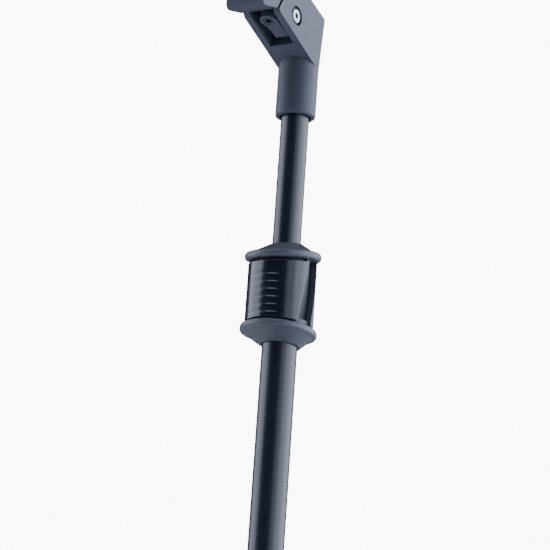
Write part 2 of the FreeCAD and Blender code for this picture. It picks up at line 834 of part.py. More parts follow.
def make_pivot_bolt():
    floor = d.sleeve_radius - d.bolt_recess_depth
    head_top = floor + d.bolt_head_height
    y = d.pivot_y
    z = pivot_height
    shank = cylinder("bolt_shank", d.bolt_radius, 2 * floor + 0.5, x=-floor - 0.5, y=y, z=z, along=X_AXIS)
    head = cylinder("bolt_head", d.bolt_head_radius, d.bolt_head_height, x=floor, y=y, z=z, along=X_AXIS)
    key = socket("bolt_socket", d.socket_radius, d.bolt_head_height, head_top - 1.7, y, z, X_AXIS)
    node(cut("keyed_bolt", fuse("bolt_blank", [shank, head]), [key]), "pivot_bolt")
    nut = cylinder("nut_blank", d.nut_radius, d.bolt_head_height, x=-head_top, y=y, z=z, along=X_AXIS)
    hole = cylinder("nut_hole", d.bolt_radius + 0.05, d.bolt_head_height, x=-head_top, y=y, z=z, along=X_AXIS)
    node(cut("pivot_nut_cut", nut, [hole]), "pivot_nut")
    washers = []
    for name, x in (("right", d.slot_half - d.washer_thickness - d.washer_play), ("left", d.washer_play - d.slot_half)):
        disc = cylinder(f"washer_{name}", d.washer_radius, d.washer_thickness, x=x, y=y, z=z, along=X_AXIS)
        hole = cylinder(f"washer_hole_{name}", d.bolt_radius + 0.1, d.washer_thickness, x=x, y=y, z=z, along=X_AXIS)
        washers.append(cut(f"washer_cut_{name}", disc, [hole]))
    node(group("friction_washers", washers), "friction_washers")


# ---------------------------------------------------------------- desk


def desk_placement():
    """The desk's own frame: its origin lies on the bracket's front face, square to the pivot."""
    reach = float(d.bracket_reach)
    lean = math.radians(float(d.desk_lean))
    y = float(d.pivot_y) - reach * math.cos(lean)
    z = float(pivot_height) + reach * math.sin(lean)
    return Placement(Vector(0, y, z), Rotation(X_AXIS, -float(d.desk_lean)))


def make_desk_bracket():
    body = new_body("desk_bracket")
    eye_half = d.slot_half - d.washer_thickness - d.eye_play
    split = d.eye_split
    block = new_sketch(body, "YZ_Plane", "block")
    draw_polygon(block, [(Size(0), -d.bracket_foot), (d.bracket_slope_y, d.bracket_slope_z),
                         (d.bracket_depth, d.bracket_step_z), (d.bracket_depth, d.bracket_taper_low),
                         (d.bracket_mid_depth, d.bracket_taper_mid), (d.bracket_top_depth, d.bracket_length),
                         (Size(0), d.bracket_length)])
    pad(body, block, 2 * d.sleeve_radius, symmetric=True)
    neck = new_sketch(body, "YZ_Plane", "neck")
    draw_polygon(neck, [(d.neck_start, d.neck_low), (d.bracket_reach, d.neck_low), (d.bracket_reach, d.neck_high),
                        (d.neck_start, d.neck_high)])
    pad(body, neck, 2 * eye_half, symmetric=True)
    hub = new_sketch(body, "YZ_Plane", "hub")
    draw_circle(hub, d.washer_radius + 1.0, d.bracket_reach, 0.0)
    pad(body, hub, 2 * eye_half, symmetric=True)
    eye = new_sketch(body, "YZ_Plane", "eye", split)
    draw_circle(eye, d.eye_radius, d.bracket_reach, 0.0)
    pad(body, eye, eye_half - split)
    ear = new_sketch(body, "XY_Plane", "ear", d.ear_low)
    ear_end = d.bracket_reach + d.ear_past_pivot
    draw_polygon(ear, [(split, d.screw_y), (eye_half, d.screw_y), (eye_half, ear_end), (split, ear_end)])
    pad(body, ear, d.ear_tall)
    boss = new_sketch(body, "XY_Plane", "boss", d.boss_low)
    draw_circle(boss, d.boss_radius, d.screw_x, d.screw_y)
    pad(body, boss, d.boss_tall)
    seat = new_sketch(body, "XY_Plane", "screw_seat", d.boss_low)
    draw_circle(seat, d.screw_seat_radius, d.screw_x, d.screw_y)
    pocket(body, seat, d.screw_seat_depth, reverse=True)
    screw = new_sketch(body, "XY_Plane", "screw_hole", d.boss_low)
    draw_circle(screw, d.screw_radius + 0.1, d.screw_x, d.screw_y)
    pocket(body, screw, d.screw_length + 3.0, reverse=True)
    bore = new_sketch(body, "YZ_Plane", "bore")
    draw_circle(bore, d.bolt_radius + 0.06, d.bracket_reach, 0.0)
    pocket(body, bore, symmetric=True)
    flange = new_sketch(body, "XZ_Plane", "flange")
    half = d.flange_width / 2
    draw_polygon(flange, [(-half, d.flange_low), (half, d.flange_low), (half, d.flange_low + d.flange_height),
                          (-half, d.flange_low + d.flange_height)])
    pad(body, flange, d.flange_thickness, reverse=True)
    holes = new_sketch(body, "XZ_Plane", "screw_holes")
    for x, z in desk_screw_places():
        draw_circle(holes, d.desk_screw_radius + 0.1, x, z)
    pocket(body, holes, 30.0)
    round_edges(body, "toe", d.toe_round, lambda edge: is_along_x(edge, 0.0, -float(d.bracket_foot)))
    round_edges(body, "flange_corners", d.flange_corner, is_flange_corner)
    node(body, "desk_bracket", desk_placement())


def is_along_x(edge, y, z):
    """True for a straight edge along X at this y and z."""
    bounds = edge.BoundBox
    return (bounds.XLength > 5 and bounds.YLength < 1e-4 and bounds.ZLength < 1e-4
            and abs(bounds.YMin - y) < 1e-3 and abs(bounds.ZMin - z) < 1e-3)


def is_flange_corner(edge):
    bounds = edge.BoundBox
    half = float(d.flange_width) / 2
    return (abs(abs(bounds.XMin) - half) < 1e-3 and bounds.XLength < 1e-4 and bounds.ZLength < 1e-4
            and abs(bounds.YLength - float(d.flange_thickness)) < 1e-3)


def desk_screw_places():
    """The four screws that hold the desk, as (x, z) in the desk's frame."""
    middle = d.flange_low + d.flange_height / 2
    half_x = d.desk_screw_across / 2
    half_z = d.desk_screw_up / 2
    return [(sx * half_x, middle + sz * half_z) for sx in (-1, 1) for sz in (-1, 1)]


def make_desk_panel():
    body = new_body("desk_panel")
    sheet_face = new_sketch(body, "XZ_Plane", "sheet")
    half = d.desk_width / 2
    draw_polygon(sheet_face, [(-half, d.desk_low), (half, d.desk_low), (half, d.desk_low + d.desk_height),
                              (-half, d.desk_low + d.desk_height)])
    pad(body, sheet_face, d.desk_thickness)
    holes = new_sketch(body, "XZ_Plane", "screw_holes", -5.0)
    for x, z in desk_screw_places():
        draw_circle(holes, d.desk_screw_radius + 0.1, x, z)
    pocket(body, holes, 10.0, reverse=True)
    rivets = new_sketch(body, "XZ_Plane", "rivet_holes", -5.0)
    for x, z in shelf_rivet_places():
        draw_circle(rivets, d.shelf_rivet_radius + d.shelf_rivet_play, x, z)
    pocket(body, rivets, 10.0, reverse=True)
    bead = new_sketch(body, "XZ_Plane", "bead", d.desk_thickness)
    low = d.desk_low + d.bead_rise
    draw_polygon(bead, [(-half, low), (half, low), (half, low + d.bead_width), (-half, low + d.bead_width)])
    pocket(body, bead, d.bead_depth)
    round_edges(body, "corners", d.desk_corner, is_top_corner)
    node(body, "desk_panel", desk_placement())


def is_top_corner(edge):
    bounds = edge.BoundBox
    half = float(d.desk_width) / 2
    top = float(d.desk_low + d.desk_height)
    return (abs(abs(bounds.XMin) - half) < 1e-3 and bounds.XLength < 1e-4 and bounds.ZLength < 1e-4
            and abs(bounds.ZMin - top) < 1e-3)


def shelf_rivet_places():
    """Five rivets through the desk's lower edge and the shelf's return."""
    return [(i * d.shelf_rivet_pitch, d.desk_low + d.shelf_rivet_rise) for i in range(-2, 3)]


def make_shelf():
    body = new_body("desk_shelf")
    profile = new_sketch(body, "YZ_Plane", "profile")
    gauge = d.desk_thickness
    low = d.desk_low - gauge
    front = -d.desk_thickness - d.shelf_depth
    step = -gauge - d.shelf_rivet_play
    draw_polygon(profile, [
        (front, low),
        (gauge, low),
        (gauge, d.desk_low + d.shelf_return),
        (Size(0), d.desk_low + d.shelf_return),
        (Size(0), d.desk_low - d.shelf_rebate),
        (step, d.desk_low - d.shelf_rebate),
        (step, low + gauge),
        (front + gauge, low + gauge),
        (front + gauge, low + d.shelf_lip),
        (front, low + d.shelf_lip),
    ])
    pad(body, profile, d.desk_width, symmetric=True)
    rivets = new_sketch(body, "XZ_Plane", "rivet_holes", -5.0)
    for x, z in shelf_rivet_places():
        draw_circle(rivets, d.shelf_rivet_radius + d.shelf_rivet_play, x, z)
    pocket(body, rivets, 10.0, reverse=True)
    relief = new_sketch(body, "XZ_Plane", "bracket_relief", -20.0)
    clear = d.sleeve_radius + 0.4
    draw_polygon(relief, [(-clear, d.desk_low - 5), (clear, d.desk_low - 5), (clear, d.desk_low + 30),
                          (-clear, d.desk_low + 30)])
    pocket(body, relief, 20.0, reverse=True)
    node(body, "desk_shelf", desk_placement())


def make_desk_fasteners():
    front = -d.desk_thickness
    tall = d.desk_screw_head_height
    screws = []
    for i, (x, z) in enumerate(desk_screw_places(), start=1):
        shank = cylinder(f"desk_shank_{i}", d.desk_screw_radius, d.desk_screw_length, x=x, y=front, z=z, along=Y_AXIS)
        head = cylinder(f"desk_head_{i}", d.desk_screw_head, tall, x=x, y=front - tall, z=z, along=Y_AXIS)
        key = socket(f"desk_key_{i}", 1.7, 1.8, x, front - tall, z, Y_AXIS)
        screws.append(cut(f"desk_screw_{i}", fuse(f"desk_screw_blank_{i}", [shank, head]), [key]))
    node(group("desk_screws", screws), "desk_screws", desk_placement())
    back = d.flange_thickness
    nuts = []
    for i, (x, z) in enumerate(desk_screw_places(), start=1):
        nut = socket(f"desk_nut_blank_{i}", d.desk_screw_head, d.desk_nut_height, x, back, z, Y_AXIS)
        hole = cylinder(f"desk_nut_hole_{i}", d.desk_screw_radius + 0.04, d.desk_nut_height, x=x, y=back, z=z,
                        along=Y_AXIS)
        nuts.append(cut(f"desk_nut_{i}", nut, [hole]))
    node(group("desk_nuts", nuts), "desk_nuts", desk_placement())
    gauge = d.desk_thickness
    root = 0.2
    tall = d.shelf_rivet_head_height
    tail = d.shelf_rivet_tail_height
    rivets = []
    for i, (x, z) in enumerate(shelf_rivet_places(), start=1):
        under_bracket = i == 3
        grip = gauge + root if under_bracket else 2 * gauge + 2 * root
        shank = cylinder(f"shelf_shank_{i}", d.shelf_rivet_radius, grip, x=x, y=-gauge - root, z=z, along=Y_AXIS)
        head = cylinder(f"shelf_front_{i}", d.shelf_rivet_head, tall, x=x, y=-gauge - tall, z=z, along=Y_AXIS)
        shapes = [shank, head]
        if not under_bracket:
            shapes.append(cylinder(f"shelf_back_{i}", d.shelf_rivet_tail, tail, x=x, y=gauge, z=z, along=Y_AXIS))
        rivets.append(fuse(f"shelf_rivet_{i}", shapes))
    node(group("shelf_rivets", rivets), "shelf_rivets", desk_placement())
    x = d.screw_x
    y = d.screw_y
    z = d.boss_low + 0.2
    shank = cylinder("tension_shank", d.screw_radius, d.screw_length, x=x, y=y, z=z)
    head = cylinder("tension_head", d.screw_head_radius, d.screw_head_height, x=x, y=y, z=z)
    key = socket("tension_key", 2.1, 2.0, float(x), float(y), float(z), Z_AXIS)
    node(cut("tension_screw_cut", fuse("tension_blank", [shank, head]), [key]), "tension_screw", desk_placement())


# ---------------------------------------------------------------- folding base


def make_hub(label, pivot_z, low, slotted):
    """A collar on the column with three pairs of ears that carry the leg or strut pivots.

    The strut's ears are slotted downwards, because the fold lowers that pin a little on its way.
    """
    inside = d.lower_tube_radius + (0.0 if slotted else d.slide_fit)
    collar = cylinder(f"{label}_collar", d.hub_radius, d.hub_height, z=low)
    blanks = [collar]
    holes = [cylinder(f"{label}_bore", inside, d.hub_height, z=low)]
    drop = d.pin_slot if slotted else Size(0)
    thick = d.slotted_ear if slotted else d.solid_ear
    play = d.rivet_radius + d.rivet_play
    across = Rotation(Z_AXIS, Y_AXIS)
    for i, bearing in enumerate(LEG_BEARINGS, start=1):
        turn = Rotation(Z_AXIS, bearing)
        for side in (-1, 1):
            middle = side * (d.strut_width / 2 + d.ear_play + thick / 2) if slotted else side * thick / 2
            near = middle - thick / 2
            name = f"{label}_{i}_{side + 2}"
            web = box(f"{name}_web", d.pivot_radius - d.web_start, thick, 2 * d.ear_radius + drop)
            place_about(web, turn, d.web_start, near, pivot_z - d.ear_radius - drop)
            blanks.append(web)
            for end, z in (("top", pivot_z), ("low", pivot_z - drop)):
                tip = cylinder(f"{name}_{end}", d.ear_radius, thick)
                place_about(tip, turn, d.pivot_radius, near, z, across)
                blanks.append(tip)
            if slotted:
                fill = box(f"{name}_fill", d.ear_radius, thick, drop)
                place_about(fill, turn, d.pivot_radius, near, pivot_z - drop)
                blanks.append(fill)
        hole = cylinder(f"{label}_hole_{i}", play, 30.0)
        place_about(hole, turn, d.pivot_radius, -15.0, pivot_z, across)
        holes.append(hole)
        if slotted:
            end = cylinder(f"{label}_end_{i}", play, 30.0)
            place_about(end, turn, d.pivot_radius, -15.0, pivot_z - drop, across)
            slot = box(f"{label}_slot_{i}", 2 * play, 30.0, drop)
            place_about(slot, turn, d.pivot_radius - play, -15.0, pivot_z - drop)
            holes += [end, slot]
    return fuse(f"{label}_blank", blanks), holes


def place_about(feature, turn, x, y, z, spin=None):
    """Places a feature at (x, y, z) of a leg's own plane, turned about the column."""
    base = turn.multVec(Vector(float(x), float(y), float(z)))
    feature.Placement = Placement(base, turn if spin is None else turn.multiply(spin))


def make_hubs():
    blank, holes = make_hub("column_hub", strut_pivot_height, column_hub_low, True)
    node(cut("column_hub", blank, holes), "column_hub")
    low = hub_pivot_height - d.collar_below_pivot
    blank, holes = make_hub("leg_collar", hub_pivot_height, low, False)
    boss = cylinder("knob_boss", d.knob_boss_radius, d.knob_boss_length, along=X_AXIS)
    screw_z = float(low + d.knob_height)
    turn = Rotation(Z_AXIS, 270.0)
    place_about(boss, turn, 0.0, 0.0, screw_z, Rotation(Z_AXIS, X_AXIS))
    thread = cylinder("knob_thread", d.knob_screw_radius + 0.05, 30.0, along=X_AXIS)
    place_about(thread, turn, 0.0, 0.0, screw_z, Rotation(Z_AXIS, X_AXIS))
    node(cut("leg_collar", fuse("leg_collar_solid", [blank, boss]), holes + [thread]), "leg_collar")
    screw = cylinder("knob_screw", d.knob_screw_radius, d.knob_screw_length)
    grip = cylinder("knob_grip", d.knob_radius, d.knob_length, z=d.knob_start)
    flutes = []
    for i in range(KNOB_FLUTES):
        bearing = 360.0 / KNOB_FLUTES * i
        reach = d.knob_radius + d.knob_flute_reach
        flutes.append(cylinder(f"flute_{i + 1}", d.knob_flute_radius, d.knob_length, x=reach * cosine(bearing),
                               y=reach * sine(bearing), z=d.knob_start))
    knob = fuse("collar_knob_solid", [screw, cut("fluted_grip", grip, flutes)])
    outward = turn.multiply(Rotation(Z_AXIS, X_AXIS))
    start = turn.multVec(Vector(float(d.lower_tube_radius) + 0.1, 0, screw_z))
    node(knob, "collar_knob", Placement(start, outward))


def leg_frame(bearing):
    """From a leg's own frame, with +X down along the leg, to the stand's frame."""
    turn = Placement(Vector(), Rotation(Z_AXIS, bearing))
    hang = Rotation(Y_AXIS, 90.0 - float(d.leg_angle))
    return turn.multiply(Placement(Vector(float(d.pivot_radius), 0, float(hub_pivot_height)), hang))


def strut_frame(bearing):
    """From a strut's own frame, with +X up and outward along the strut, to the stand's frame."""
    turn = Placement(Vector(), Rotation(Z_AXIS, bearing))
    rise = Rotation(Y_AXIS, -(90.0 - float(d.leg_angle)))
    return turn.multiply(Placement(Vector(float(d.pivot_radius), 0, float(strut_pivot_height)), rise))


def rivet(name, x, half):
    """A rivet across the leg at `x`, with a head on each side."""
    shank = cylinder(f"{name}_shank", d.rivet_radius, 2 * half, x=x, y=-half, along=Y_AXIS)
    right = cylinder(f"{name}_right", d.rivet_head, d.rivet_head_height, x=x, y=half, along=Y_AXIS)
    left = cylinder(f"{name}_left", d.rivet_head, d.rivet_head_height, x=x, y=-half - d.rivet_head_height,
                    along=Y_AXIS)
    return fuse(f"{name}_solid", [shank, right, left])


def make_leg(number, bearing):
    frame = leg_frame(bearing)
    half = d.leg_width / 2
    deep = d.leg_depth / 2
    inner = d.leg_width - 2 * d.leg_wall
    outer = box(f"leg_outer_{number}", d.leg_length, d.leg_width, d.leg_depth, 0.0, -half, -deep)
    end = cylinder(f"leg_end_{number}", deep, d.leg_width, y=-half, along=Y_AXIS)
    hollow = box(f"leg_hollow_{number}", d.leg_length + 10, inner, d.leg_depth, -8.0, -inner / 2,
                 -deep - d.leg_wall)
    relief = box(f"leg_relief_{number}", 21.0, inner, d.leg_depth, -8.0, -inner / 2, 0.0)
    play = d.rivet_radius + d.rivet_play
    top_hole = cylinder(f"leg_top_hole_{number}", play, 30.0, y=-15.0, along=Y_AXIS)
    strut_hole = cylinder(f"leg_strut_hole_{number}", play, 30.0, x=d.strut_length, y=-15.0, along=Y_AXIS)
    leg = cut(f"leg_{number}", fuse(f"leg_blank_{number}", [outer, end]), [hollow, relief, top_hole, strut_hole])
    node(leg, f"leg_{number}", frame)
    rivets = [rivet(f"top_rivet_{number}", 0.0, half), rivet(f"strut_rivet_{number}", d.strut_length, half)]
    node(group(f"leg_rivets_{number}", rivets), f"leg_rivets_{number}", frame)
    make_foot(number, bearing, frame)
    make_strut(number, bearing)


def make_foot(number, bearing, frame):
    """A rubber boot on the leg's end with a flat sole on the floor."""
    turn = Rotation(Z_AXIS, bearing)
    tip = frame.multVec(Vector(float(d.leg_length), 0, 0))
    reach = math.hypot(tip.x, tip.y) - float(d.foot_inset)
    sole = doc.addObject("Part::Cone", f"sole_{number}")
    bind(sole, "Radius1", d.foot_radius)
    bind(sole, "Radius2", d.foot_top_radius)
    bind(sole, "Height", d.foot_height)
    place_about(sole, turn, reach, 0.0, 0.0)
    wall = d.boot_wall
    boot = box(f"boot_{number}", d.boot_length, d.leg_width + 2 * wall, d.leg_depth + 2 * wall)
    corner = Vector(float(d.leg_length - d.boot_overlap), -float(d.leg_width / 2 + wall),
                    -float(d.leg_depth / 2 + wall))
    boot.Placement = frame.multiply(Placement(corner, Rotation()))
    inside = box(f"boot_inside_{number}", d.leg_length, d.leg_width, d.leg_depth)
    corner = Vector(0, -float(d.leg_width) / 2, -float(d.leg_depth) / 2)
    inside.Placement = frame.multiply(Placement(corner, Rotation()))
    under = box(f"under_{number}", 200.0, 200.0, 50.0)
    place_about(under, turn, reach - 100.0, -100.0, -50.0)
    node(cut(f"foot_{number}", fuse(f"foot_blank_{number}", [sole, boot]), [inside, under]), f"foot_{number}")


def make_strut(number, bearing):
    frame = strut_frame(bearing)
    half = d.strut_width / 2
    deep = d.strut_depth / 2
    bar = box(f"strut_bar_{number}", d.strut_length, d.strut_width, d.strut_depth, 0.0, -half, -deep)
    near = cylinder(f"strut_near_{number}", deep, d.strut_width, y=-half, along=Y_AXIS)
    far = cylinder(f"strut_far_{number}", deep, d.strut_width, x=d.strut_length, y=-half, along=Y_AXIS)
    play = d.rivet_radius + d.rivet_play
    holes = [cylinder(f"strut_hole_{number}_{i}", play, 10.0, x=x, y=-5.0, along=Y_AXIS)
             for i, x in enumerate((Size(0), d.strut_length))]
    strut = cut(f"strut_{number}", fuse(f"strut_blank_{number}", [bar, near, far]), holes)
    node(strut, f"strut_{number}", frame)
    pin = rivet(f"strut_pin_{number}", 0.0, d.strut_width / 2 + d.strut_pin_reach)
    node(pin, f"strut_rivet_{number}", frame)


# ---------------------------------------------------------------- build and write


def check_and_export():
    doc.recompute()
    for obj in doc.Objects:
        if "Invalid" in obj.State or "Error" in obj.State:
            raise RuntimeError(f"{obj.Label} did not compute: {obj.State}")
    os.makedirs("parts", exist_ok=True)
    for feature in NODES:
        shape = feature.Shape
        if shape.isNull() or not shape.isValid() or not shape.Solids:
            raise RuntimeError(f"{feature.Label} has no valid solid")
        shape.exportStep(f"parts/{feature.Label}.step")
        print(f"{feature.Label}: {len(shape.Solids)} solid(s), {shape.Volume / 1000:.2f} cm3")


make_column()
make_grip_housing()
make_caps()
make_lever()
make_locking_plates()
make_plate_spring()
make_tilt_head()
make_pivot_bolt()
make_desk_bracket()
make_desk_panel()
make_shelf()
make_desk_fasteners()
make_hubs()
for leg_number, leg_bearing in enumerate(LEG_BEARINGS, start=1):
    make_leg(leg_number, leg_bearing)
check_and_export()
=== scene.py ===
import math

import bmesh
import bpy
from bpy.props import FloatProperty, FloatVectorProperty, PointerProperty
from mathutils import Matrix, Vector


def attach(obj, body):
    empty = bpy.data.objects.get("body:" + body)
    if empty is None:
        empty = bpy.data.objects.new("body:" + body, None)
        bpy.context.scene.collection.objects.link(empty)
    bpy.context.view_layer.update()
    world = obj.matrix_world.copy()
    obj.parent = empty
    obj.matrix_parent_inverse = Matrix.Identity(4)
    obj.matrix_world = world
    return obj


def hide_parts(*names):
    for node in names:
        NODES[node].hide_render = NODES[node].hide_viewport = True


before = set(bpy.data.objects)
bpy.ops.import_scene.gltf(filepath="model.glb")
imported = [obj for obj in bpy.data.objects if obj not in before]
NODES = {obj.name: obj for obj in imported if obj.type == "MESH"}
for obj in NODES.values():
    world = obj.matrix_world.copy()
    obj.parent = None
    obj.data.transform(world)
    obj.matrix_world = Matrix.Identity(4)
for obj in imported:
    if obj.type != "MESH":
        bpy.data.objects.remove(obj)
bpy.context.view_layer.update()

bl_info = {
    "name": "Music stand finishes",
    "version": (1, 0, 0),
    "blender": (4, 5, 0),
    "location": "3D View > Sidebar > Stand",
    "description": "Finishes and fine shapes for a music stand with a squeeze-grip height clutch",
    "category": "Object",
}

MM = 0.001
# The squeeze lever, in millimetres and degrees. Heights are measured from its middle, along the grip's axis.
LEVER = {
    "outer": 24.4,
    "inner": 22.7,
    "half": 24.45,
    "middle": 544.6,
    "centre_y": -3.3,
    "end_slope": 5.5,
    "low_gap": 1.4,
    "high_gap": 1.9,
    "side_low": -12.6,
    "side_high": -4.2,
    "edge_round": 0.8,
    "grooves": 6,
    "groove_low": -17.2,
    "groove_pitch": 5.4,
    "groove_height": 3.6,
    "groove_depth": 0.5,
    "groove_step": 1.1,
    "groove_angle": math.radians(30.0),
    "columns": 120,
    "rows_per_groove": 20,
    "low_rows": 4,
    "high_rows": 10,
    "block_round": 0.7,
}
# Half width, front, back, bottom and top of the two blocks on the lever's inner side.
LEVER_BLOCKS = {
    "lug": (6.2, -23.0, -13.4, -20.5, -14.6),
    "nose": (5.2, -23.0, -13.6, -9.5, -1.5),
}
# Where the rows of a rounded edge lie, as shares of its radius.
EDGE_ROWS = (0.0, 0.08, 0.3, 0.6, 1.0)
EDGE_MARGIN = 1.2

# Radii in metres between which the grip's core, darkened as painted shade, turns into its outer strips,
# lightened as painted light.
PAINTED_LIGHT_RADII = (0.0200, 0.0208)

# Name, place, width, height and power of each softbox.
SOFTBOXES = (
    ("left_box", (-1.39, -0.56, 0.8), 1.6, 2.2, 50.0),
    ("right_box", (1.11, 1.0, 0.8), 1.73, 2.2, 76.0),
    ("side_box", (1.5, -0.05, 0.8), 0.75, 2.2, 25.0),
    ("front_box", (1.30, -0.75, 0.8), 0.75, 2.2, 10.0),
    ("top_box", (-0.1, -1.1, 2.3), 1.2, 1.2, 20.0),
)
LIGHTS_AIM = (0.0, 0.0, 0.6)
LIGHTS_TINT = (0.78, 0.84, 1.0)
AMBIENT_TINT = (0.50, 0.56, 0.75, 1.0)

# The camera's place, the point it looks at, its roll and the direction of its level, in degrees.
CAMERA_EYE = (0.5471, -0.9610, 0.2972)
CAMERA_AIM = (-0.0058, -0.0033, 0.55965)
CAMERA_ROLL = 3.99
CAMERA_BEARING = 30.0
SENSOR_WIDTH = 36.0
FLOOR_SIZE = 8.0


def colour(name, description, value):
    return FloatVectorProperty(
        name=name, description=description, default=value,
        subtype="COLOR", size=3, min=0.0, max=1.0,
    )


def length(name, description, value):
    return FloatProperty(
        name=name, description=description, default=value,
        min=0.0, unit="LENGTH", subtype="DISTANCE",
    )


class StandColours(bpy.types.PropertyGroup):
    """Colours of the stand's finishes."""

    cast: colour("Cast metal", "Painted cast head and bracket", (0.036, 0.040, 0.056))
    cap: colour("Grip caps", "Moulded caps above and below the grip", (0.036, 0.040, 0.054))
    # Base colour of the grip housing; its finish lightens it on the outer strips as painted light and
    # darkens it on the core as painted shade.
    housing: colour("Grip housing", "Matte side strips of the grip", (0.024, 0.027, 0.036))
    tube: colour("Tubes", "Powder coat on the column and legs", (0.004, 0.006, 0.012))
    lever: colour("Lever", "Glossy moulded squeeze lever", (0.004, 0.006, 0.012))
    desk: colour("Desk", "Powder coat on the desk and shelf", (0.010, 0.010, 0.013))
    steel: colour("Plated steel", "Bright plated screws and rivets", (0.34, 0.35, 0.38))
    blackened: colour("Blackened steel", "Black socket screws and plates", (0.012, 0.012, 0.018))
    rubber: colour("Rubber", "Feet", (0.014, 0.014, 0.015))


class StandSizes(bpy.types.PropertyGroup):
    """Sizes that only the looks use."""

    edge_softness: length("Edge softness", "Radius that light finds on sharp edges", 0.35 * MM)
    coat_grain: length("Coat grain", "Size of the bumps in the powder coat", 0.6 * MM)


class StandStage(bpy.types.PropertyGroup):
    """Floor, lights and camera."""

    floor: colour("Floor", "Pale floor", (0.80, 0.80, 0.80))
    backdrop: colour("Backdrop", "Colour behind the stand", (1.0, 1.0, 1.0))
    backdrop_strength: FloatProperty(
        name="Backdrop strength", description="Brightness behind the stand", default=10.0, min=0.0
    )
    ambient: FloatProperty(
        name="Ambient", description="Brightness of the room's dim light", default=0.07, min=0.0
    )
    lens: FloatProperty(name="Lens", description="Focal length in millimetres", default=104.73, min=1.0)


def colours():
    return bpy.context.scene.stand_colours


def sizes():
    return bpy.context.scene.stand_sizes


class Finish:
    """A procedural material, built up node by node."""

    def __init__(self, name, base, roughness, metallic=0.0):
        self.material = bpy.data.materials.new(name)
        self.material.use_nodes = True
        self.tree = self.material.node_tree
        self.shader = self.tree.nodes["Principled BSDF"]
        self.shader.inputs["Base Color"].default_value = (*base, 1.0)
        self.shader.inputs["Roughness"].default_value = roughness
        self.shader.inputs["Metallic"].default_value = metallic
        self.base = base
        self.place = self.add("ShaderNodeTexCoord").outputs["Object"]
        self.normal = None

    def add(self, kind, **settings):
        new = self.tree.nodes.new(kind)
        for key, value in settings.items():
            setattr(new, key, value)
        return new

    def join(self, source, target):
        self.tree.links.new(source, target)

    def set(self, **values):
        for key, value in values.items():
            self.shader.inputs[key.replace("_", " ")].default_value = value
        return self

    def noise(self, scale, detail=2.0, rough=0.5):
        noise = self.add("ShaderNodeTexNoise")
        noise.inputs["Scale"].default_value = scale
        noise.inputs["Detail"].default_value = detail
        noise.inputs["Roughness"].default_value = rough
        self.join(self.place, noise.inputs["Vector"])
        return noise.outputs["Fac"]

    def ramp(self, value, low, high, out_low, out_high):
        remap = self.add("ShaderNodeMapRange")
        ends = {"From Min": low, "From Max": high, "To Min": out_low, "To Max": out_high}
        for socket, number in ends.items():
            remap.inputs[socket].default_value = number
        self.join(value, remap.inputs["Value"])
        return remap.outputs["Result"]

    def tint(self, factor, low, high):
        """Mixes between a darker and a lighter version of the base colour."""
        mix = self.add("ShaderNodeMix", data_type="RGBA")
        mix.inputs["A"].default_value = (*[c * low for c in self.base], 1.0)
        mix.inputs["B"].default_value = (*[min(c * high, 1.0) for c in self.base], 1.0)
        self.join(factor, mix.inputs["Factor"])
        self.join(mix.outputs["Result"], self.shader.inputs["Base Color"])
        return self

    def painted_light_mask(self):
        """One on the grip's inner core, where the housing gets painted shade, and nought on its outer
        strips, where it gets painted light.
        """
        apart = self.add("ShaderNodeSeparateXYZ")
        self.join(self.place, apart.inputs[0])
        flat = self.add("ShaderNodeCombineXYZ")
        self.join(apart.outputs[0], flat.inputs[0])
        shift = self.add("ShaderNodeMath", operation="SUBTRACT")
        shift.inputs[1].default_value = LEVER["centre_y"] * MM
        self.join(apart.outputs[1], shift.inputs[0])
        self.join(shift.outputs[0], flat.inputs[1])
        reach = self.add("ShaderNodeVectorMath", operation="LENGTH")
        self.join(flat.outputs[0], reach.inputs[0])
        return self.ramp(reach.outputs["Value"], *PAINTED_LIGHT_RADII, 1.0, 0.0)

    def soften(self, radius):
        """Rounds hard edges for the light."""
        bevel = self.add("ShaderNodeBevel", samples=4)
        bevel.inputs["Radius"].default_value = radius
        self.normal = bevel.outputs["Normal"]
        return self

    def bump(self, height, depth, strength=1.0):
        bump = self.add("ShaderNodeBump")
        bump.inputs["Strength"].default_value = strength
        bump.inputs["Distance"].default_value = depth
        self.join(height, bump.inputs["Height"])
        if self.normal:
            self.join(self.normal, bump.inputs["Normal"])
        self.normal = bump.outputs["Normal"]
        return self

    def done(self):
        if self.normal:
            self.join(self.normal, self.shader.inputs["Normal"])
        return self.material


FINISHES = {}


def finish(name):
    if name not in FINISHES:
        FINISHES[name] = FINISH_MAKERS[name]().done()
    return FINISHES[name]


def painted_cast():
    f = Finish("painted_cast", colours().cast, 0.5)
    f.set(Specular_IOR_Level=0.28)
    f.soften(sizes().edge_softness)
    f.tint(f.noise(220.0, 3.0), 0.92, 1.08)
    f.bump(f.noise(1400.0, 3.0, 0.6), 0.05 * MM, 0.35)
    f.join(f.ramp(f.noise(500.0), 0.3, 0.7, 0.46, 0.56), f.shader.inputs["Roughness"])
    return f


def moulded_cap():
    f = Finish("moulded_cap", colours().cap, 0.5)
    f.soften(sizes().edge_softness)
    f.tint(f.noise(260.0, 3.0), 0.9, 1.1)
    f.bump(f.noise(2200.0, 2.0, 0.6), 0.04 * MM, 0.35)
    return f


def painted_light_strip():
    f = Finish("painted_light_strip", colours().housing, 0.6)
    f.set(Specular_IOR_Level=0.25)
    f.soften(sizes().edge_softness)
    # Painted light and shade: the outer strips, which lie in shade, get 2.4 times the colour, and the lit
    # core gets 0.8 times it.
    f.tint(f.painted_light_mask(), 2.4, 0.8)
    f.bump(f.noise(2400.0, 2.0, 0.6), 0.05 * MM, 0.4)
    return f


